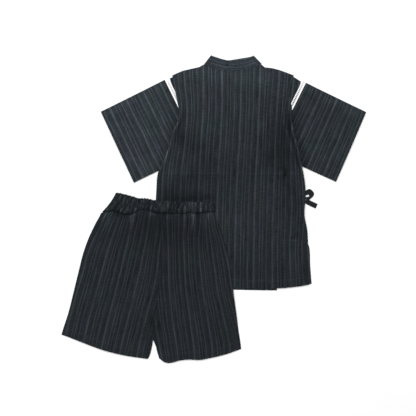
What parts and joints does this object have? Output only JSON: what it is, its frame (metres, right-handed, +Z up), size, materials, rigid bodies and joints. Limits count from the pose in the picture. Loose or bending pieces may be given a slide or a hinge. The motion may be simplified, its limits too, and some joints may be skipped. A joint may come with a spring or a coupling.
{
  "type": "jinbei set",
  "caption": "Child's wrap-front summer top with lace-joined short sleeves and a side bow, laid flat face down, with gathered elastic-waist shorts lying over its corner.",
  "frame": {"origin": "centre of the bottom face of the set's box, on the floor that both garments lie on", "axes": "+Z straight up from the floor, out of the back of the top and of the shorts; +Y towards the collar; +X towards the side with the bow"},
  "size_m": [0.6408, 0.6468, 0.0115],
  "materials": {
    "striped_cotton": "matt dark grey cotton with uneven slub stripes",
    "tie_cotton": "matt dark grey cotton",
    "white_lace": "white cotton ladder lace"
  },
  "bodies": {
    "root": {"top_back": "striped_cotton", "top_front_left": "striped_cotton", "top_front_right": "striped_cotton", "collar": "striped_cotton", "sleeve_left": "striped_cotton", "sleeve_right": "striped_cotton", "lace_left": "white_lace", "lace_right": "white_lace", "bow_knot": "tie_cotton", "bow_loop": "tie_cotton", "bow_loop_under": "tie_cotton", "bow_tail": "tie_cotton", "bow_tail_under": "tie_cotton", "tie_from_front": "tie_cotton", "tie_from_side": "tie_cotton", "shorts_back_left": "striped_cotton", "shorts_back_right": "striped_cotton", "shorts_front_left": "striped_cotton", "shorts_front_right": "striped_cotton", "waistband": "striped_cotton"}
  },
  "joints": []
}
